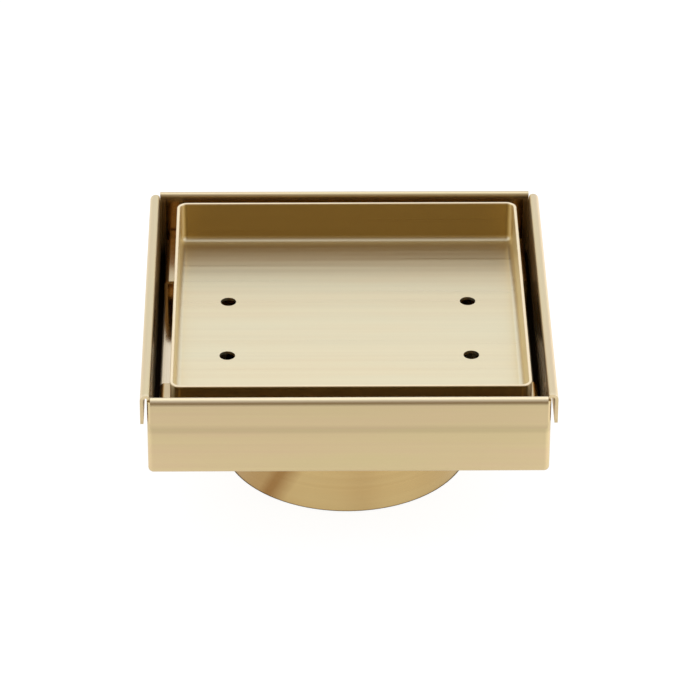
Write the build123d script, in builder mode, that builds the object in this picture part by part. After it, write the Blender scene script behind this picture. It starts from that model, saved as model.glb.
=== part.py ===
"""Square tile-insert floor drain in folded steel sheet.

A pan with hemmed, turned-down flanges carries a round outlet spigot below. A loose tray,
which a cut tile is glued into, stands inside it on two folded supports and lifts
straight out. Water enters by the slot all round the tray.

Frame: origin at the centre of the spigot's lower end, +Z up, -Y towards the front.
"""

import os

from build123d import *

os.makedirs("parts", exist_ok=True)

# Driving dimensions, in millimetres.
overall_width = 115.0
pan_depth = 24.9
spigot_drop = 26.7
sheet = 0.9
hem_gap = 1.0
hem_inner_radius = 1.1  # outer surface of the fold, on its side towards the tray
flange_drop = 9.2
hem_end_notch = 0.1
pan_corner_radius = 1.5
pan_bend_radius = 1.2

spigot_radius = 36.0
spigot_wall = 1.2
spigot_edge_round = 0.3
weld_width = 0.5

tray_width = 100.0
tray_depth = 13.4
tray_corner_radius = 3.0
tray_bend_radius = 2.5
tray_edge_round = 0.3
tray_shift = 0.6  # the tray is loose in the pan and stands this far to the right of centre
hole_diameter = 4.5
hole_spacing_x = 69.3
hole_spacing_y = 29.0

support_length = 106.2
support_width = 24.2
support_shift = 0.2  # the supports are welded on a little to the left of the tray's middle
support_centre_y = 39.5
support_bend_radius = 1.4

# Levels and widths that follow from them.
rim_z = spigot_drop + pan_depth
pan_floor_z = spigot_drop + sheet
rim_width = 2 * sheet + hem_gap
hem_outer_radius = rim_width - hem_inner_radius
box_top_z = rim_z - hem_outer_radius
flange_end_z = rim_z - flange_drop
outer_half = overall_width / 2
inner_half = outer_half - rim_width
box_width = 2 * (inner_half + sheet)
hem_half_length = inner_half - hem_end_notch
hem_root_z = box_top_z - sheet
tray_underside_z = rim_z - tray_depth
support_height = tray_underside_z - pan_floor_z


# Hem along one side: the wall's top edge is folded outwards and down into a flange.
with BuildPart() as hem:
    with BuildSketch(Plane.XZ.offset(hem_half_length)):
        with BuildLine():
            inner_centre = (inner_half + hem_inner_radius, rim_z - hem_inner_radius)
            outer_centre = (inner_half + hem_inner_radius, rim_z - hem_outer_radius)
            Line((inner_half, hem_root_z), (inner_half, rim_z - hem_inner_radius))
            CenterArc(inner_centre, hem_inner_radius, 180, -90)
            CenterArc(outer_centre, hem_outer_radius, 90, -90)
            Line((outer_half, box_top_z), (outer_half, flange_end_z))
            Line((outer_half, flange_end_z), (outer_half - sheet, flange_end_z))
            Line((outer_half - sheet, flange_end_z), (outer_half - sheet, box_top_z))
            CenterArc(outer_centre, hem_outer_radius - sheet, 0, 90)
            CenterArc(inner_centre, hem_inner_radius - sheet, 90, 90)
            Line((inner_half + sheet, rim_z - hem_inner_radius), (inner_half + sheet, hem_root_z))
            Line((inner_half + sheet, hem_root_z), (inner_half, hem_root_z))
        make_face()
    extrude(amount=-2 * hem_half_length)

# Pan: an open box with rounded bends, a hem on each side and the outlet hole in its floor.
with BuildPart() as pan:
    with BuildSketch(Plane.XY.offset(spigot_drop)):
        RectangleRounded(box_width, box_width, pan_corner_radius)
    extrude(amount=box_top_z - spigot_drop)
    fillet(pan.faces().sort_by(Axis.Z)[0].edges(), radius=pan_bend_radius)
    offset(amount=-sheet, openings=pan.faces().sort_by(Axis.Z)[-1])
    with BuildSketch(Plane.XY.offset(spigot_drop)):
        Circle(spigot_radius + weld_width)
    extrude(amount=sheet, mode=Mode.SUBTRACT)
    with PolarLocations(0, 4):
        add(hem.part)
pan.part.label = "pan"

# Outlet spigot: a short tube set through the hole in the pan floor, its upper end ground level
# with the floor. The ring of weld metal that fills the hole round it belongs to it.
with BuildPart() as outlet_spigot:
    with BuildSketch(Plane.XY):
        Circle(spigot_radius)
        Circle(spigot_radius - spigot_wall, mode=Mode.SUBTRACT)
    extrude(amount=pan_floor_z)
    fillet(outlet_spigot.faces().sort_by(Axis.Z)[0].edges(), radius=spigot_edge_round)
    with BuildSketch(Plane.XY.offset(spigot_drop)):
        Circle(spigot_radius + weld_width)
        Circle(spigot_radius - spigot_wall, mode=Mode.SUBTRACT)
    extrude(amount=sheet)
outlet_spigot.part.label = "outlet_spigot"

# Tile tray: a shallow open box, its rim level with the pan's, with four holes in its floor.
with BuildPart() as tile_tray:
    with BuildSketch(Plane((tray_shift, 0, tray_underside_z))):
        RectangleRounded(tray_width, tray_width, tray_corner_radius)
    extrude(amount=tray_depth)
    fillet(tile_tray.faces().sort_by(Axis.Z)[0].edges(), radius=tray_bend_radius)
    offset(amount=-sheet, openings=tile_tray.faces().sort_by(Axis.Z)[-1])
    fillet(tile_tray.faces().sort_by(Axis.Z)[-1].edges(), radius=tray_edge_round)
    with BuildSketch(Plane((tray_shift, 0, tray_underside_z))):
        with GridLocations(hole_spacing_x, hole_spacing_y, 2, 2):
            Circle(hole_diameter / 2)
    extrude(amount=sheet, mode=Mode.SUBTRACT)
tile_tray.part.label = "tile_tray"


def support_channel(centre_y):
    """A wide strip with its ends folded down as feet. Its top is welded under the tray."""
    with BuildPart() as channel:
        with BuildSketch(Plane((support_shift, centre_y, pan_floor_z))):
            Rectangle(support_length, support_width)
        extrude(amount=support_height)
        top = channel.faces().sort_by(Axis.Z)[-1]
        fillet(top.edges().filter_by(Axis.Y), radius=support_bend_radius)
        by_y = channel.faces().sort_by(Axis.Y)
        open_sides = [by_y[0], by_y[-1], channel.faces().sort_by(Axis.Z)[0]]
        offset(amount=-sheet, openings=open_sides)
    return channel.part


front_support_channel = support_channel(-support_centre_y)
front_support_channel.label = "front_support_channel"
rear_support_channel = support_channel(support_centre_y)
rear_support_channel.label = "rear_support_channel"

export_step(pan.part, "parts/pan.step")
export_step(outlet_spigot.part, "parts/outlet_spigot.step")
export_step(tile_tray.part, "parts/tile_tray.step")
export_step(front_support_channel, "parts/front_support_channel.step")
export_step(rear_support_channel, "parts/rear_support_channel.step")
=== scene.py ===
"""Looks of a tile-insert floor drain: sheet steel, brushed and coated gold, on a white table."""

import math

import bpy
from mathutils import Matrix, Vector


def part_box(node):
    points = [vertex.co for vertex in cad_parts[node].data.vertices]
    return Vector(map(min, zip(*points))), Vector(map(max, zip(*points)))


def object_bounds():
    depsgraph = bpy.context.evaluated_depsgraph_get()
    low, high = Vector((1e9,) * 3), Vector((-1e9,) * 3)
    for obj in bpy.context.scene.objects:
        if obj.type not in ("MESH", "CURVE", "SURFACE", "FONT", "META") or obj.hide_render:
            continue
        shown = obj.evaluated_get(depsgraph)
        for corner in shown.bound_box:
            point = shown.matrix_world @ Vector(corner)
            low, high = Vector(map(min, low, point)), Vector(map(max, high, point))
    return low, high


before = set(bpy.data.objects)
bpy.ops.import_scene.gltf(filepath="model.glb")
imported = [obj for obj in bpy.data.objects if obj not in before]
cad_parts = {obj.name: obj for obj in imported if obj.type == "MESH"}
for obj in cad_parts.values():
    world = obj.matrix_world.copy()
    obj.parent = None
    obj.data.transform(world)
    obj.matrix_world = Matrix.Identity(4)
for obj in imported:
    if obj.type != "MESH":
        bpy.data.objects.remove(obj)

cad_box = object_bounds()
MM = 0.001

# The drain's make-up, in metres, as far as the finish depends on it.
SHEET = 0.9 * MM
RIM_Z = cad_box[1].z
PAN_INNER_HALF = 54.7 * MM
PAN_FLOOR_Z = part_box("pan")[0].z + SHEET
FLANGE_END_Z = RIM_Z - 9.2 * MM
TRAY_FLOOR_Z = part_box("tile_tray")[0].z + SHEET
TRAY_HALF, TRAY_SHIFT = 50.0 * MM, 0.6 * MM
SPIGOT_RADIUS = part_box("outlet_spigot")[1].x
BORE_RADIUS = 34.8 * MM

# Gold coating: linear colours of the plain metal and of its warmer patches.
PAN_GOLD, PAN_WARM = (0.725, 0.590, 0.320), (0.745, 0.570, 0.335)
TRAY_GOLD, TRAY_WARM = (0.79, 0.675, 0.425), (0.81, 0.660, 0.400)
SPIGOT_GOLD, SPIGOT_WARM = (0.70, 0.515, 0.235), (0.69, 0.475, 0.200)
SUPPORT_GOLD, SUPPORT_WARM = (0.64, 0.490, 0.270), (0.65, 0.470, 0.240)

# The coating's painted light and shade: painted shade on the tray's end walls, painted light on its side
# walls, painted highlights on edges, rims and the slot floor, a deeper tint as painted shade in the slot,
# and a dark brown as painted shade. The spigot's streaks, random in tone, share their brown with its
# painted reflection and painted shade.
TRAY_END_SHADE_GOLD, TRAY_SIDE_LIGHT_GOLD = (0.55, 0.385, 0.130), (0.92, 0.790, 0.500)
PAINTED_HIGHLIGHT_GOLD = (0.96, 0.790, 0.520)
PAINTED_SHADE_GOLD = (0.86, 0.560, 0.210)
PAINTED_SHADE_BROWN = (0.030, 0.015, 0.005)
STREAK_AND_SHADE_BROWN = (0.28, 0.100, 0.010)

# Roughness between the brushing's shiniest and dullest strokes.
PAN_ROUGHNESS = (0.28, 0.38)
TRAY_ROUGHNESS = (0.26, 0.38)
SPIGOT_ROUGHNESS = (0.18, 0.26)
SUPPORT_ROUGHNESS = (0.14, 0.22)

# Brushing: how many strokes fit in a metre, along the grain and across it, how fine and coarse
# ones add up, how pale the palest are and how much they cover, and the relief.
FINE_ALONG, FINE_ACROSS = 10.0, 3200.0
COARSE_ALONG, COARSE_ACROSS = 4.0, 520.0
PATCH_ALONG, PATCH_ACROSS = 16.0, 110.0
FINE_SHARE, COARSE_SHARE = 0.6, 0.4
PALE_STROKE, PALE_STROKE_COVER = 1.08, 0.55
RELIEF_STRENGTH, RELIEF_DEPTH = 0.10, 0.04 * MM
ANISOTROPY = 0.55

# Most of a noise's values lie in this range.
NOISE_RANGE = (0.35, 0.65)

# A face whose normal leans this far to the left or right is a folded end.
FOLDED_END_NORMAL = 0.7

# How far each painted highlight, painted shade and streak covers the metal's colour: 0 leaves it as it is,
# 1 replaces it.
WALL_SHADE_FRONT, WALL_SHADE_BACK = 0.05, 0.95
FLOOR_HIGHLIGHT = 0.90
HIGH_SHADE = 0.60
SHADE_UNDER_FLANGE = 0.13
FRONT_RIM_HIGHLIGHT, RIM_HIGHLIGHT = 0.50, 0.05
TRAY_SLOT_SHADE = 0.60
TRAY_EDGE_HIGHLIGHT = 0.85
SOFT_STREAKS, DARK_REFLECTION_STREAK, SHADED_SIDE = 0.14, 0.60, 0.28
BORE_SHADE = 0.80

# What the slot and the painted shade add to the roughness, and what the tray's side walls add.
SLOT_SHINE = -0.16
SLOT_SHADE_DULLING = 0.60
TRAY_SIDE_DULLING = 0.18
BORE_SHADE_DULLING = 0.40

# The spigot's soft streaks: how often they change per metre.
SOFT_STREAK_SCALE = (53.0, 53.0, 4.0)

# Its dark streak, a painted reflection: its place at the foot, in radians from the front, its slant in
# radians per metre, and the half widths of its core and of the whole. Left of it, painted shade keeps the
# colour darker.
STREAK_TURN, STREAK_SLANT = -0.70, 15.0
STREAK_CORE, STREAK_EDGE = 0.02, 0.17
SHADED_SIDE_NEAR_FADE, SHADED_SIDE_FAR_FADE = (-0.68, -0.50), (-2.6, -1.7)

# The table: its size and how far it lies below the drain, in metres.
TABLE_RADIUS = 8.0
TABLE_BELOW_DRAIN = 0.05 * MM

# Its radiance to the camera and to the drain, what scales the drain's, with a painted shadow under the
# pan, and where that fades, in metres from the middle.
TABLE_TO_CAMERA, TABLE_TO_DRAIN, TABLE_FRONT = 0.91, 0.80, 0.28
TABLE_LEFT, TABLE_RIGHT, TABLE_PAINTED_SHADOW = 1.15, 1.55, 0.85
TABLE_FRONT_FADE = (-0.32, -0.10)
TABLE_LEFT_FADE, TABLE_RIGHT_FADE = (-0.20, -0.05), (0.05, 0.20)
TABLE_PAINTED_SHADOW_FADE = (0.05, 0.09)

# The room's radiance, seen from the drain, and where it fades by a direction's x, y or z.
ROOM_BACK, ROOM_FRONT, ROOM_FRONT_TO_BACK = (0.90, 0.97, 1.13), (0.18, 0.110, 0.035), (-0.92, 0.14)
ROOM_FRONT_HORIZON, HORIZON_FADE, AT_FRONT_FADE = (0.42, 0.39, 0.31), (0.08, 0.25), (-0.9, -0.5)
ROOM_LEFT, ROOM_LEFT_FADE = (0.92, 0.93, 0.95), (-0.8, -0.35)
ROOM_RIGHT, ROOM_RIGHT_FADE = (1.00, 1.03, 1.12), (0.35, 0.8)

# Camera: where it looks, from which side, and how far it stands off, in metres and degrees.
LOOK_AT = Vector((0.86 * MM, 0.0, RIM_Z - 19.97 * MM))
LOOK_FROM_AZIMUTH, LOOK_FROM_ELEVATION, ROLL = -0.904, 32.444, 0.298
LOOK_DISTANCE = 1.211
LENS, SENSOR = 216.4, 36.0


class Nodes:
    """A short way to add and join the nodes of one material or world."""

    # The Mix node's sockets share their names, so they are told apart by their place.
    MIX_COLOUR_INPUTS, MIX_COLOUR_OUTPUT = (6, 7), 2
    MIX_VECTOR_INPUTS, MIX_VECTOR_OUTPUT = (4, 5), 1

    def __init__(self, tree):
        self.tree = tree

    def feed(self, socket, value):
        """Joins a node's output to the socket, or sets the socket to a plain value."""
        if isinstance(value, bpy.types.NodeSocket):
            self.tree.links.new(value, socket)
        else:
            socket.default_value = value

    def add(self, kind, inputs=(), **settings):
        node = self.tree.nodes.new(kind)
        for name, value in settings.items():
            setattr(node, name, value)
        for name, value in dict(inputs).items():
            self.feed(node.inputs[name], value)
        return node

    def split(self, vector):
        return self.add("ShaderNodeSeparateXYZ", {0: vector}).outputs[:3]

    def join(self, x=0.0, y=0.0, z=0.0):
        return self.add("ShaderNodeCombineXYZ", {"X": x, "Y": y, "Z": z}).outputs[0]

    def math(self, operation, a, b=0.0):
        return self.add("ShaderNodeMath", {0: a, 1: b}, operation=operation).outputs[0]

    def multiply(self, *values):
        product = values[0]
        for value in values[1:]:
            product = self.math("MULTIPLY", product, value)
        return product

    def vector(self, operation, a, b=None):
        inputs = {0: a} if b is None else {0: a, 1: b}
        return self.add("ShaderNodeVectorMath", inputs, operation=operation).outputs[0]

    def length(self, vector):
        return self.add("ShaderNodeVectorMath", {0: vector}, operation="LENGTH").outputs["Value"]

    def noise(self, vector, detail, roughness=0.5):
        inputs = {"Vector": vector, "Scale": 1.0, "Detail": detail, "Roughness": roughness}
        return self.add("ShaderNodeTexNoise", inputs).outputs["Fac"]

    def spread(self, value, low, high, to_low, to_high):
        """Fades from to_low, where the value is low or less, to to_high, where it is high or more."""
        inputs = {"Value": value, "From Min": low, "From Max": high, "To Min": to_low, "To Max": to_high}
        return self.add("ShaderNodeMapRange", inputs).outputs["Result"]

    def mix_colour(self, cover, under, over):
        """The colour under, covered by the colour over. A plain colour is (red, green, blue)."""
        node = self.add("ShaderNodeMix", {"Factor": cover}, data_type="RGBA")
        for place, colour in zip(self.MIX_COLOUR_INPUTS, (under, over)):
            self.feed(node.inputs[place], (*colour, 1.0) if isinstance(colour, tuple) else colour)
        return node.outputs[self.MIX_COLOUR_OUTPUT]

    def mix_vector(self, cover, under, over):
        node = self.add("ShaderNodeMix", {"Factor": cover}, data_type="VECTOR")
        for place, vector in zip(self.MIX_VECTOR_INPUTS, (under, over)):
            self.feed(node.inputs[place], vector)
        return node.outputs[self.MIX_VECTOR_OUTPUT]


def grain_by_side(nodes, place):
    """Stroke space (along, across, depth) and the grain's direction, for the pan: along each side."""
    x, y, z = nodes.split(place)
    past_diagonal = nodes.math("SUBTRACT", nodes.math("ABSOLUTE", x), nodes.math("ABSOLUTE", y))
    on_side = nodes.math("GREATER_THAN", past_diagonal, 0.0)
    strokes = nodes.mix_vector(on_side, place, nodes.join(y, x, z))
    return strokes, nodes.mix_vector(on_side, nodes.join(x=1.0), nodes.join(y=1.0))


def grain_left_to_right(nodes, place):
    """For the tray and its supports: brushed flat from left to right, then folded at either end."""
    x, y, z = nodes.split(place)
    normal = nodes.add("ShaderNodeTexCoord").outputs["Normal"]
    facing_side = nodes.math("ABSOLUTE", nodes.split(normal)[0])
    on_end = nodes.math("GREATER_THAN", facing_side, FOLDED_END_NORMAL)
    return nodes.mix_vector(on_end, place, nodes.join(z, y, x)), nodes.join(x=1.0)


def grain_round_tube(nodes, place):
    """For the spigot, which was polished as it turned."""
    x, y, z = nodes.split(place)
    return nodes.join(x, z), nodes.vector("CROSS_PRODUCT", nodes.join(z=1.0), nodes.join(x, y))


def painted_wall_shade(nodes, place, below_rim):
    """Painted shade on the pan's inner walls: a deeper brown tint, stronger towards the back."""
    _, y, z = nodes.split(place)
    above_floor = nodes.spread(z, PAN_FLOOR_Z, PAN_FLOOR_Z + 1.2 * MM, 0.0, 1.0)
    to_back = nodes.spread(y, -30.0 * MM, 30.0 * MM, WALL_SHADE_FRONT, WALL_SHADE_BACK)
    return nodes.multiply(below_rim, above_floor, to_back)


def painted_floor_highlight(nodes, place):
    """Painted highlight on the pan's floor, pale where it is seen through the slots at the sides."""
    x, _, z = nodes.split(place)
    on_floor = nodes.spread(z, PAN_FLOOR_Z + 0.2 * MM, PAN_FLOOR_Z + 0.8 * MM, FLOOR_HIGHLIGHT, 0.0)
    at_slot = nodes.spread(nodes.math("ABSOLUTE", x), 44.0 * MM, 49.0 * MM, 0.0, 1.0)
    return nodes.multiply(on_floor, at_slot)


def painted_side_wall_shade(nodes, place, below_rim):
    """Painted shade on the side walls: low down, higher at the left, and up to the rim at the back."""
    x, y, z = nodes.split(place)
    from_middle = nodes.math("ABSOLUTE", x)
    at_side = nodes.spread(from_middle, PAN_INNER_HALF - 1.9 * MM, PAN_INNER_HALF - 1.2 * MM, 0.0, 1.0)
    stain_end = nodes.spread(x, -10.0 * MM, 10.0 * MM, PAN_FLOOR_Z + 18.0 * MM, PAN_FLOOR_Z + 8.5 * MM)
    low = nodes.spread(z, PAN_FLOOR_Z + 3.0 * MM, stain_end, 1.0, 0.0)
    high = nodes.multiply(nodes.spread(y, -10.0 * MM, 40.0 * MM, 0.0, HIGH_SHADE), below_rim)
    return nodes.multiply(at_side, nodes.math("MAXIMUM", low, high))


def painted_shade_under_flange(nodes, place):
    """Painted shade: a faint dark band round the outside, just under the flanges' lower edge."""
    _, _, z = nodes.split(place)
    end = nodes.spread(z, FLANGE_END_Z - 3.0 * MM, FLANGE_END_Z - 2.0 * MM, 0.0, SHADE_UNDER_FLANGE)
    start = nodes.spread(z, FLANGE_END_Z + 0.1 * MM, FLANGE_END_Z + 1.6 * MM, 1.0, 0.0)
    return nodes.multiply(end, start)


def painted_rim_highlight(nodes, place):
    """Painted highlight on the top of the rim, pale, mostly at the front."""
    _, y, z = nodes.split(place)
    on_top = nodes.spread(z, RIM_Z - 1.6 * MM, RIM_Z - 0.6 * MM, 0.0, 1.0)
    return nodes.multiply(on_top, nodes.spread(y, -54.5 * MM, -53.0 * MM, FRONT_RIM_HIGHLIGHT, RIM_HIGHLIGHT))


def pan_painted_light(nodes, place, colour):
    """The pan's painted shade and painted highlights: its colour, and what they add to the roughness."""
    x, y, z = nodes.split(place)
    farthest = nodes.math("MAXIMUM", nodes.math("ABSOLUTE", x), nodes.math("ABSOLUTE", y))
    within_walls = nodes.math("LESS_THAN", farthest, PAN_INNER_HALF + 0.2 * MM)
    inside = nodes.multiply(within_walls, nodes.math("GREATER_THAN", z, PAN_FLOOR_Z - 0.4 * MM))
    outside = nodes.math("SUBTRACT", 1.0, inside)
    below_rim = nodes.spread(z, RIM_Z - 3.0 * MM, RIM_Z - 1.2 * MM, 1.0, 0.0)
    # Painted shade on the side walls, low down and towards the back.
    painted_shade = nodes.multiply(inside, painted_side_wall_shade(nodes, place, below_rim))

    # Painted shade: the inner walls take a deeper brown tint.
    wall_shade = nodes.multiply(inside, painted_wall_shade(nodes, place, below_rim))
    colour = nodes.mix_colour(wall_shade, colour, PAINTED_SHADE_GOLD)
    # Painted highlight on the floor in the slots.
    colour = nodes.mix_colour(nodes.multiply(inside, painted_floor_highlight(nodes, place)), colour, PAINTED_HIGHLIGHT_GOLD)
    colour = nodes.mix_colour(painted_shade, colour, PAINTED_SHADE_BROWN)
    # Painted shade under the flanges.
    band = nodes.multiply(outside, painted_shade_under_flange(nodes, place))
    colour = nodes.mix_colour(band, colour, PAINTED_SHADE_BROWN)
    # Painted highlight on the top of the rim.
    colour = nodes.mix_colour(painted_rim_highlight(nodes, place), colour, PAINTED_HIGHLIGHT_GOLD)

    shine = nodes.multiply(inside, below_rim, SLOT_SHINE)
    return colour, nodes.math("ADD", shine, nodes.multiply(painted_shade, SLOT_SHADE_DULLING))


def tray_painted_light(nodes, place, colour):
    """The tray's painted light: painted shade on its end walls, painted light on its side walls, painted
    shade outside in the slot, and a painted highlight on its rim.
    """
    x, y, z = nodes.split(place)
    from_middle_x = nodes.math("ABSOLUTE", nodes.math("SUBTRACT", x, TRAY_SHIFT))
    from_middle_y = nodes.math("ABSOLUTE", y)
    wall = nodes.spread(z, TRAY_FLOOR_Z + 0.4 * MM, TRAY_FLOOR_Z + 1.8 * MM, 0.0, 1.0)
    on_end = nodes.spread(from_middle_y, TRAY_HALF - 1.6 * MM, TRAY_HALF - 1.0 * MM, 0.0, 1.0)
    on_side = nodes.spread(from_middle_x, TRAY_HALF - 1.6 * MM, TRAY_HALF - 1.0 * MM, 0.0, 1.0)
    # Painted shade on the end walls and painted light on the side walls.
    colour = nodes.mix_colour(nodes.multiply(on_end, wall), colour, TRAY_END_SHADE_GOLD)
    colour = nodes.mix_colour(nodes.multiply(on_side, wall), colour, TRAY_SIDE_LIGHT_GOLD)

    farthest = nodes.math("MAXIMUM", from_middle_x, from_middle_y)
    outside = nodes.math("GREATER_THAN", farthest, TRAY_HALF - 0.3 * MM)
    # Painted shade on the tray's outside walls in the slot.
    in_slot = nodes.spread(z, RIM_Z - 1.2 * MM, RIM_Z - 0.5 * MM, TRAY_SLOT_SHADE, 0.0)
    colour = nodes.mix_colour(nodes.multiply(outside, in_slot), colour, PAINTED_SHADE_GOLD)
    # Painted highlight on the tray's top edge.
    at_edge = nodes.spread(z, RIM_Z - 0.50 * MM, RIM_Z - 0.15 * MM, 0.0, TRAY_EDGE_HIGHLIGHT)
    colour = nodes.mix_colour(at_edge, colour, PAINTED_HIGHLIGHT_GOLD)
    return colour, nodes.multiply(on_side, TRAY_SIDE_DULLING)


def spigot_streaks_and_shade(nodes, place, colour):
    """The spigot's streaks along its length, random in tone, a dark slanting one that is a painted
    reflection, painted shade on its left, and painted shade in its bore and on top.
    """
    x, y, z = nodes.split(place)
    turn = nodes.math("ARCTAN2", x, nodes.multiply(y, -1.0))
    soft = nodes.noise(nodes.vector("MULTIPLY", place, SOFT_STREAK_SCALE), detail=1.0)
    soft = nodes.spread(soft, *NOISE_RANGE, 0.0, SOFT_STREAKS)
    # A dark slanting band as a painted reflection, and painted shade left of it.
    upright = nodes.math("SUBTRACT", turn, nodes.multiply(z, STREAK_SLANT))
    from_streak = nodes.math("ABSOLUTE", nodes.math("SUBTRACT", upright, STREAK_TURN))
    dark_reflection = nodes.spread(from_streak, STREAK_CORE, STREAK_EDGE, DARK_REFLECTION_STREAK, 0.0)
    left_of_streak = nodes.spread(turn, *SHADED_SIDE_NEAR_FADE, SHADED_SIDE, 0.0)
    short_of_back = nodes.spread(turn, *SHADED_SIDE_FAR_FADE, 0.0, SHADED_SIDE)
    dark = nodes.math("MAXIMUM", dark_reflection, nodes.math("MINIMUM", left_of_streak, short_of_back))
    colour = nodes.mix_colour(nodes.math("ADD", soft, dark), colour, STREAK_AND_SHADE_BROWN)

    from_axis = nodes.length(nodes.join(x, y))
    # Painted shade in the bore and on the spigot's top.
    in_bore = nodes.spread(from_axis, BORE_RADIUS + 0.2 * MM, BORE_RADIUS + 0.6 * MM, BORE_SHADE, 0.0)
    on_top = nodes.spread(z, PAN_FLOOR_Z - 0.3 * MM, PAN_FLOOR_Z - 0.1 * MM, 0.0, BORE_SHADE)
    painted_shade = nodes.math("MAXIMUM", in_bore, on_top)
    return nodes.mix_colour(painted_shade, colour, PAINTED_SHADE_BROWN), nodes.multiply(painted_shade, BORE_SHADE_DULLING)


def brushed_gold(name, grain, gold, warm, roughness, streaks_and_painted_light=None):
    """Brushed, gold-coated steel: strokes in its roughness, relief and colour, and its streaks and painted
    light and shade.
    """
    material = bpy.data.materials.new(name)
    material.use_nodes = True
    nodes = Nodes(material.node_tree)
    shader = material.node_tree.nodes["Principled BSDF"]
    place = nodes.add("ShaderNodeTexCoord").outputs["Object"]
    strokes, direction = grain(nodes, place)
    fine = nodes.vector("MULTIPLY", strokes, (FINE_ALONG, FINE_ACROSS, FINE_ACROSS))
    coarse = nodes.vector("MULTIPLY", strokes, (COARSE_ALONG, COARSE_ACROSS, COARSE_ACROSS))
    patch = nodes.vector("MULTIPLY", strokes, (PATCH_ALONG, PATCH_ACROSS, PATCH_ACROSS))
    fine_noise = nodes.noise(fine, detail=3.0, roughness=0.6)
    coarse_noise = nodes.noise(coarse, detail=2.0)
    patches = nodes.noise(patch, detail=2.0)

    colour = nodes.mix_colour(nodes.spread(patches, *NOISE_RANGE, 0.0, 1.0), gold, warm)
    pale = tuple(min(1.0, channel * PALE_STROKE) for channel in gold)
    colour = nodes.mix_colour(nodes.spread(coarse_noise, 0.35, 0.70, 0.0, PALE_STROKE_COVER), colour, pale)
    fine_part = nodes.multiply(fine_noise, FINE_SHARE)
    both = nodes.math("ADD", fine_part, nodes.multiply(coarse_noise, COARSE_SHARE))
    matt = nodes.spread(both, 0.3, 0.7, *roughness)
    if streaks_and_painted_light is not None:
        colour, duller = streaks_and_painted_light(nodes, place, colour)
        matt = nodes.math("ADD", matt, duller)

    relief = {"Height": both, "Strength": RELIEF_STRENGTH, "Distance": RELIEF_DEPTH}
    normal = nodes.add("ShaderNodeNewGeometry").outputs["Normal"]
    across_grain = nodes.vector("CROSS_PRODUCT", normal, direction)
    # The small push keeps a direction where the face looks along the grain.
    across_grain = nodes.vector("NORMALIZE", nodes.vector("ADD", across_grain, (0.0, 0.01, 0.0)))

    shader.inputs["Metallic"].default_value = 1.0
    shader.inputs["Anisotropic"].default_value = ANISOTROPY
    nodes.feed(shader.inputs["Base Color"], colour)
    nodes.feed(shader.inputs["Roughness"], matt)
    nodes.feed(shader.inputs["Normal"], nodes.add("ShaderNodeBump", relief).outputs["Normal"])
    nodes.feed(shader.inputs["Tangent"], across_grain)
    return material


def finish_node(name, material):
    """Gives a CAD node its finished material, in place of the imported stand-in."""
    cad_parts[name].material_slots[0].material = material


def table_radiance(nodes):
    """How bright the table is: even to the camera, and shaped by place to the drain, with painted shadows
    under the pan and the spigot.
    """
    place = nodes.add("ShaderNodeTexCoord").outputs["Object"]
    x, y, _ = nodes.split(place)
    to_back = nodes.spread(y, *TABLE_FRONT_FADE, TABLE_FRONT, TABLE_TO_DRAIN)
    to_left = nodes.spread(x, *TABLE_LEFT_FADE, TABLE_LEFT, 1.0)
    to_right = nodes.spread(x, *TABLE_RIGHT_FADE, 1.0, TABLE_RIGHT)
    # Painted shadows: the table is dark under the spigot and dimmer under the pan.
    from_middle = nodes.length(place)
    outside_spigot_shadow = nodes.math("GREATER_THAN", from_middle, SPIGOT_RADIUS)
    painted_pan_shadow = nodes.spread(from_middle, *TABLE_PAINTED_SHADOW_FADE, TABLE_PAINTED_SHADOW, 1.0)
    to_drain = nodes.multiply(to_back, to_left, to_right, outside_spigot_shadow, painted_pan_shadow)
    to_camera = nodes.add("ShaderNodeLightPath").outputs["Is Camera Ray"]
    inputs = {"Factor": to_camera, "A": to_drain, "B": TABLE_TO_CAMERA}
    return nodes.add("ShaderNodeMix", inputs).outputs[0]


def make_floor():
    """A white table, dimmer to the drain than to the camera, and open to views from below."""
    bpy.ops.mesh.primitive_circle_add(vertices=96, radius=TABLE_RADIUS, fill_type="NGON")
    floor = bpy.context.object
    floor.name = "white_table"
    floor.location.z = -TABLE_BELOW_DRAIN
    material = bpy.data.materials.new("white_table")
    material.use_nodes = True
    nodes = Nodes(material.node_tree)
    shader = material.node_tree.nodes["Principled BSDF"]
    shader.inputs["Base Color"].default_value = (0.20, 0.20, 0.20, 1.0)
    shader.inputs["Roughness"].default_value = 1.0
    shader.inputs["Specular IOR Level"].default_value = 0.0
    shader.inputs["Emission Color"].default_value = (1.0, 1.0, 1.0, 1.0)
    nodes.feed(shader.inputs["Emission Strength"], table_radiance(nodes))
    from_below = nodes.add("ShaderNodeNewGeometry").outputs["Backfacing"]
    clear = nodes.add("ShaderNodeBsdfTransparent").outputs[0]
    surface = nodes.add("ShaderNodeMixShader", {0: from_below, 1: shader.outputs[0], 2: clear})
    nodes.feed(material.node_tree.nodes["Material Output"].inputs["Surface"], surface.outputs[0])
    floor.data.materials.append(material)


def make_softbox(name, place, size, radiance, colour):
    """A square soft light that faces the drain. Radiance is how bright its face looks."""
    data = bpy.data.lights.new(name, "AREA")
    data.shape = "SQUARE"
    data.size = size
    data.energy = radiance * math.pi * size * size
    data.color = colour
    light = bpy.data.objects.new(name, data)
    light.location = place
    light.rotation_euler = (LOOK_AT - Vector(place)).to_track_quat("-Z", "Y").to_euler()
    bpy.context.scene.collection.objects.link(light)


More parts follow.
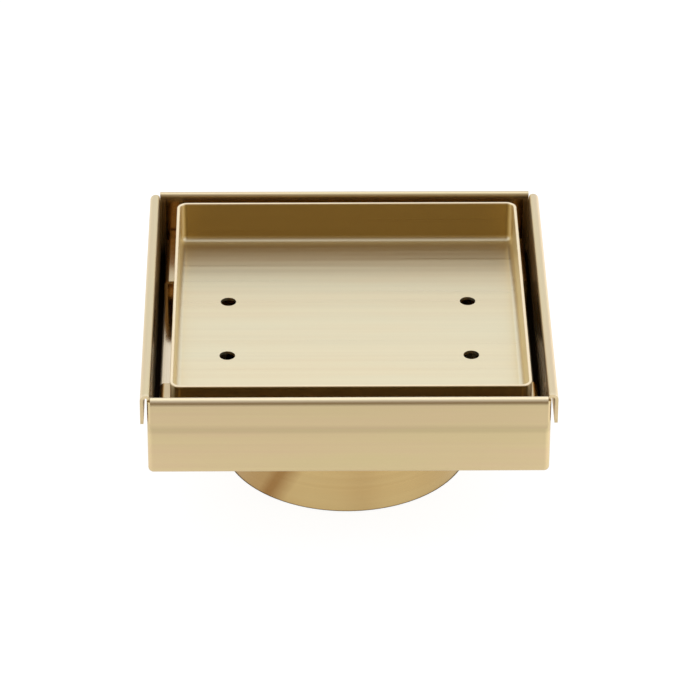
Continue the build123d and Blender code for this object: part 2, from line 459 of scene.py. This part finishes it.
def make_world():
    """A pale room: cool and bright above and behind the drain, dim and warm on the camera's side."""
    world = bpy.data.worlds.new("studio")
    bpy.context.scene.world = world
    world.use_nodes = True
    nodes = Nodes(world.node_tree)
    x, y, z = nodes.split(nodes.add("ShaderNodeTexCoord").outputs["Generated"])
    to_back = nodes.spread(y, *ROOM_FRONT_TO_BACK, 0.0, 1.0)
    room = nodes.mix_colour(to_back, ROOM_FRONT, ROOM_BACK)
    low = nodes.spread(z, *HORIZON_FADE, 1.0, 0.0)
    at_front = nodes.spread(y, *AT_FRONT_FADE, 1.0, 0.0)
    room = nodes.mix_colour(nodes.multiply(low, at_front), room, ROOM_FRONT_HORIZON)
    room = nodes.mix_colour(nodes.spread(x, *ROOM_LEFT_FADE, 1.0, 0.0), room, ROOM_LEFT)
    room = nodes.mix_colour(nodes.spread(x, *ROOM_RIGHT_FADE, 0.0, 1.0), room, ROOM_RIGHT)
    nodes.feed(world.node_tree.nodes["Background"].inputs["Color"], room)


def make_camera():
    """A long lens on the front of the drain, looking down on it."""
    data = bpy.data.cameras.new("camera")
    data.lens = LENS
    data.sensor_width = SENSOR
    data.clip_end = 50.0
    camera = bpy.data.objects.new("camera", data)
    azimuth = math.radians(LOOK_FROM_AZIMUTH)
    elevation = math.radians(LOOK_FROM_ELEVATION)
    flat = math.cos(elevation)
    back = Vector((math.sin(azimuth) * flat, -math.cos(azimuth) * flat, math.sin(elevation)))
    turn = (-back).to_track_quat("-Z", "Y").to_matrix() @ Matrix.Rotation(math.radians(ROLL), 3, "Z")
    camera.matrix_world = Matrix.Translation(LOOK_AT + back * LOOK_DISTANCE) @ turn.to_4x4()
    bpy.context.scene.collection.objects.link(camera)
    bpy.context.scene.camera = camera


pan_gold = brushed_gold("pan_gold", grain_by_side, PAN_GOLD, PAN_WARM, PAN_ROUGHNESS, pan_painted_light)
finish_node("pan", pan_gold)
tray_gold = brushed_gold(
    "tray_gold", grain_left_to_right, TRAY_GOLD, TRAY_WARM, TRAY_ROUGHNESS, tray_painted_light
)
finish_node("tile_tray", tray_gold)
spigot_gold = brushed_gold(
    "spigot_gold", grain_round_tube, SPIGOT_GOLD, SPIGOT_WARM, SPIGOT_ROUGHNESS, spigot_streaks_and_shade
)
finish_node("outlet_spigot", spigot_gold)
support_gold = brushed_gold(
    "support_gold", grain_left_to_right, SUPPORT_GOLD, SUPPORT_WARM, SUPPORT_ROUGHNESS
)
finish_node("front_support_channel", support_gold)
finish_node("rear_support_channel", support_gold)

make_floor()
make_world()
make_softbox("back_softbox", (0.0, 0.45, 1.05), size=0.8, radiance=0.60, colour=(0.90, 0.96, 1.0))
make_camera()
bpy.context.scene.view_settings.view_transform = "Standard"
